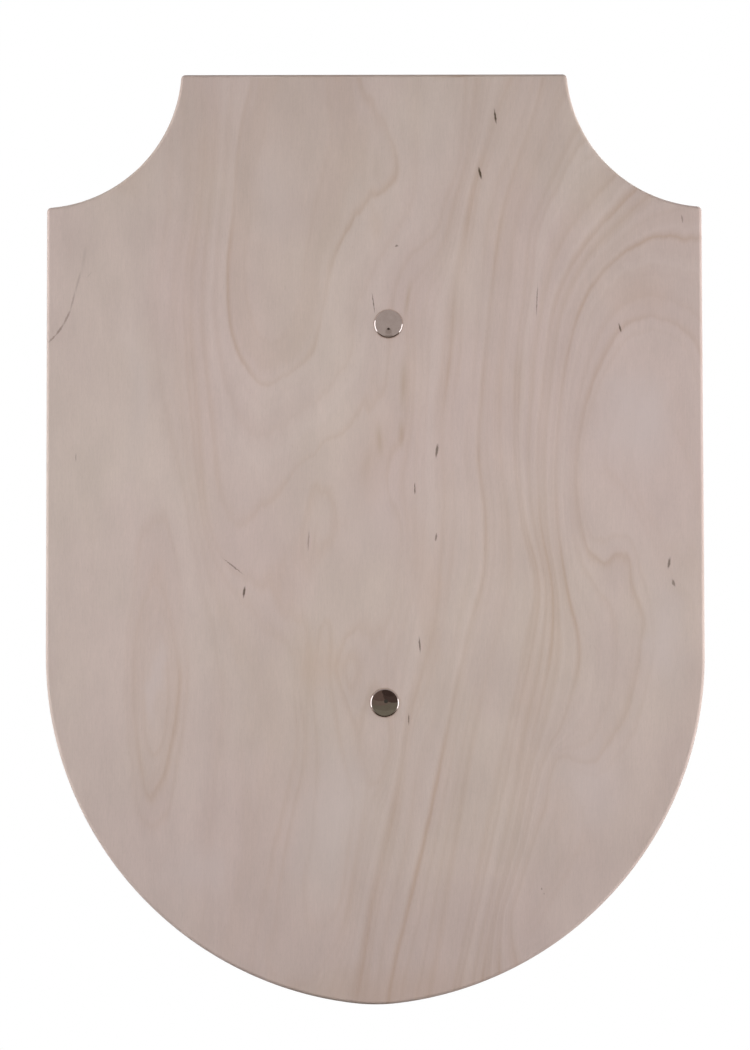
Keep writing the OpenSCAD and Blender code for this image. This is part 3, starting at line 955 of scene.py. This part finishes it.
plies = make_plies()
paint_rings(plies["face_veneer"], ring_field())
paint_rings(plies["back_veneer"], back_field)
wood = {
    "face_veneer": veneer("birch_face", BIRCH, ROSY, marked=True),
    "back_veneer": veneer("birch_back", BACK_BIRCH, BACK_ROSY),
}
for piece, node, slot, _ in PLIES[1:-1]:
    lo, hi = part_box(node)
    wood[piece] = cut_edge(f"birch_{piece}", *EDGE_WOOD[slot], lo.y, hi.y)
for piece, obj in plies.items():
    obj.data.materials.append(wood[piece])

bright = nickel()
bridge_zinc = zinc_plate("zinc_bridge", (0.50, 0.51, 0.53, 1.0), 0.35, (2.4, 0.8, 0.05))
small_zinc = zinc_plate("zinc_small", (0.55, 0.55, 0.55, 1.0), 0.9, (1.5, 1.5, 1.5))
black = rubber()
tape = foam()
SLOT_TURNS = {"upper": 24, "lower": -38}
for end, turn in SLOT_TURNS.items():
    dress(make_cap_nut(f"cap_nut_{end}", f"{end}_cap_nut"), bright, f"{end}_cap_nut")
    head, thread = make_screw(f"screw_{end}", f"{end}_screw", turn)
    dress(head, small_zinc, f"{end}_screw")
    dress(thread, small_zinc, f"{end}_screw")
    dress(make_washer(f"flat_washer_{end}", f"{end}_washer"), small_zinc, f"{end}_washer")
for side in ("left", "right"):
    dress(make_bumper(f"rubber_bumper_{side}", f"{side}_bumper"), black, f"{side}_bumper")
    dress(make_pad(f"foam_pad_{side}", f"{side}_bumper_pad"), tape, f"{side}_bumper_pad")
dress(make_bridge("wall_bridge", "hanger_bridge"), bridge_zinc, "hanger_bridge")


# ---------------------------------------------------------------- stage, light, camera
FLOOR_DROP = 0.62
FLOOR_R = 1.9


def make_floor():
    """A plain pale floor well below the hanging board."""
    t = Tree("pale_floor")
    cloud = t.noise(t.where(), 0.004, 2.0, 0.5)
    colour = t.mix(t.ramp(cloud, 0.3, 0.7), grey(0.28), grey(0.30))
    t.out(Base_Color=colour, Roughness=0.85, Emission_Color=grey(1.0), Emission_Strength=0.56)
    ring = [(FLOOR_R * math.cos(a), FLOOR_R * math.sin(a), BOT_Z - FLOOR_DROP)
            for a in np.linspace(0, 2 * math.pi, 64, endpoint=False)]
    floor = new_object("floor", ring, [list(range(len(ring)))])
    floor.data.materials.append(t.mat)
    floor.visible_glossy = False
    floor.visible_diffuse = False


def make_card(name, centre, width, height, tone, corners=4, across=(1, 0, 0)):
    """An upright studio card that only reflections see; many corners make it round."""
    mat = bpy.data.materials.new(name)
    mat.use_nodes = True
    tree = mat.node_tree
    tree.nodes.clear()
    glow = tree.nodes.new("ShaderNodeEmission")
    glow.inputs["Color"].default_value = (*tone, 1.0)
    out = tree.nodes.new("ShaderNodeOutputMaterial")
    tree.links.new(glow.outputs[0], out.inputs["Surface"])
    turns = [2 * math.pi * (n + 0.5) / corners for n in range(corners)]
    reach = 0.5 / math.cos(math.pi / corners)
    ring = [Vector(across) * (width * reach * math.sin(a)) + Vector((0, 0, height * reach * math.cos(a)))
            for a in turns]
    card = new_object(name, ring, [list(range(corners))])
    card.data.materials.append(mat)
    card.location = centre
    card.visible_camera = False
    card.visible_diffuse = False
    card.visible_shadow = False


def make_light(name, place, target, size, power, mirrored=True):
    """A soft box of the given width and height, unseen by the camera."""
    light = bpy.data.lights.new(name, "AREA")
    light.shape = "RECTANGLE"
    light.size, light.size_y = size
    light.energy = power
    obj = bpy.data.objects.new(name, light)
    scene.collection.objects.link(obj)
    obj.location = place
    obj.rotation_mode = "QUATERNION"
    obj.rotation_quaternion = (Vector(target) - Vector(place)).to_track_quat("-Z", "Y")
    obj.visible_camera = False
    obj.visible_glossy = mirrored


# Tone of the room by height: 0 is straight down, 0.5 the horizon, 1 straight up. The first
# lights the object, and the second is what polished metal mirrors.
ROOM_TONES = (
    (0.28, (0.028, 0.026, 0.024, 1.0)),
    (0.50, (0.34, 0.33, 0.315, 1.0)),
    (0.66, (0.42, 0.405, 0.385, 1.0)),
    (0.90, (0.19, 0.185, 0.18, 1.0)),
)
MIRROR_TONES = (
    (0.225, (0.020, 0.011, 0.007, 1.0)),
    (0.262, (0.430, 0.384, 0.386, 1.0)),
)


def sky(nodes, links, height, tones):
    """A background whose tone follows the height."""
    ramp = nodes.new("ShaderNodeValToRGB")
    links.new(height, ramp.inputs["Fac"])
    for element, (place, tone) in zip(ramp.color_ramp.elements, tones):
        element.position, element.color = place, tone
    for place, tone in tones[2:]:
        ramp.color_ramp.elements.new(place).color = tone
    room = nodes.new("ShaderNodeBackground")
    links.new(ramp.outputs["Color"], room.inputs["Color"])
    return room.outputs[0]


def make_world():
    """White to the camera; a soft room to everything else, dark towards the floor."""
    world = bpy.data.worlds.new("studio")
    world.use_nodes = True
    scene.world = world
    nodes, links = world.node_tree.nodes, world.node_tree.links
    nodes.clear()
    coord = nodes.new("ShaderNodeTexCoord")
    split = nodes.new("ShaderNodeSeparateXYZ")
    links.new(coord.outputs["Generated"], split.inputs[0])
    height = nodes.new("ShaderNodeMapRange")
    height.inputs["From Min"].default_value = -1.0
    links.new(split.outputs["Z"], height.inputs["Value"])
    white = nodes.new("ShaderNodeBackground")
    white.inputs["Color"].default_value = grey(1.0)
    path = nodes.new("ShaderNodeLightPath")
    shade = sky(nodes, links, height.outputs["Result"], ROOM_TONES)
    for ray, seen in (("Is Glossy Ray", sky(nodes, links, height.outputs["Result"], MIRROR_TONES)),
                      ("Is Camera Ray", white.outputs[0])):
        blend = nodes.new("ShaderNodeMixShader")
        links.new(path.outputs[ray], blend.inputs["Fac"])
        links.new(shade, blend.inputs[1])
        links.new(seen, blend.inputs[2])
        shade = blend.outputs[0]
    out = nodes.new("ShaderNodeOutputWorld")
    links.new(shade, out.inputs["Surface"])


# The camera looks at AIM from a little below it; the angles are in radians.
LENS = 80.0
CAMERA_AWAY = 1.0524
CAMERA_RISE = math.radians(-2.1)
CAMERA_ROLL = math.radians(-0.123)
AIM = Vector((0.0, FRONT_Y, -0.0055))


def make_camera():
    """The camera in front of the board, nearly square on to it."""
    data = bpy.data.cameras.new("camera")
    data.lens = LENS
    data.sensor_width = 36.0
    data.clip_start, data.clip_end = 0.05, 50.0
    cam = bpy.data.objects.new("camera", data)
    scene.collection.objects.link(cam)
    back = Vector((0, -math.cos(CAMERA_RISE), math.sin(CAMERA_RISE)))
    cam.location = AIM + back * CAMERA_AWAY
    look = (-back).to_track_quat("-Z", "Y")
    cam.rotation_mode = "QUATERNION"
    cam.rotation_quaternion = look @ Matrix.Rotation(CAMERA_ROLL, 3, "Z").to_quaternion()
    scene.camera = cam


make_world()
make_floor()
make_camera()
make_light("soft_left", (-1.15, -0.02, 0.01), (0, 0, 0.01), (0.32, 0.98), 11.2, mirrored=False)
make_light("soft_right", (1.15, -0.07, -0.20), (0, 0, -0.20), (0.36, 0.74), 14, mirrored=False)
# Wide cards at the sides, which the caps' rims mirror as bright arcs.
SIDE_GLOW = (2.1, 2.1, 2.3)
make_card("left_card", (-1.15, -0.58, 0.01), 1.08, 1.06, SIDE_GLOW, across=(0, 1, 0))
make_card("right_card", (1.15, -0.58, -0.22), 1.08, 0.84, SIDE_GLOW, across=(0, 1, 0))
make_light("soft_back", (0.70, 1.15, 0.62), (0, 0, -0.02), (0.9, 0.9), 22)
make_light("front_strip", (0.0, -0.54, 0.012), (0, 0, 0.012), (0.9, 0.36), 2.6, mirrored=False)
make_card("dark_camera", (0.014, -1.10, -0.044), 0.14, 0.11, (0.06, 0.045, 0.04), corners=32)
make_card("hands_card", (0.016, -1.15, -0.16), 0.30, 0.30, (0.33, 0.29, 0.285), corners=32)
make_card("operator_card", (0.02, -1.20, -0.30), 0.40, 0.30, (0.38, 0.335, 0.335), corners=32)
LOWER_CAP = middle("lower_cap_nut")
CARD_GAP = 0.12
CARD_STEP = 0.001
# What the lower cap mirrors: across and above its middle, width, height, tone. Each card
# stands a step nearer the board than the one before it, and hides it there.
COAT = (
    (0.000, -0.040, 0.170, 0.110, (0.180, 0.170, 0.142)),
    (0.008, -0.020, 0.180, 0.060, (0.150, 0.138, 0.115)),
    (-0.030, 0.014, 0.130, 0.070, (0.160, 0.128, 0.112)),
    (-0.020, 0.040, 0.130, 0.070, (0.118, 0.084, 0.074)),
    (0.052, 0.038, 0.120, 0.085, (0.066, 0.046, 0.041)),
    (0.030, 0.060, 0.090, 0.060, (0.050, 0.034, 0.030)),
    (0.007, 0.004, 0.021, 0.021, (0.050, 0.048, 0.044)),
)
for n, (x, z, width, height, tone) in enumerate(COAT):
    place = (LOWER_CAP.x + x, FRONT_Y - CARD_GAP + CARD_STEP * n, LOWER_CAP.z + z)
    make_card(f"coat_card_{n}", place, width, height, tone, corners=32)
scene.view_settings.view_transform = "Standard"
scene.view_settings.look = "None"
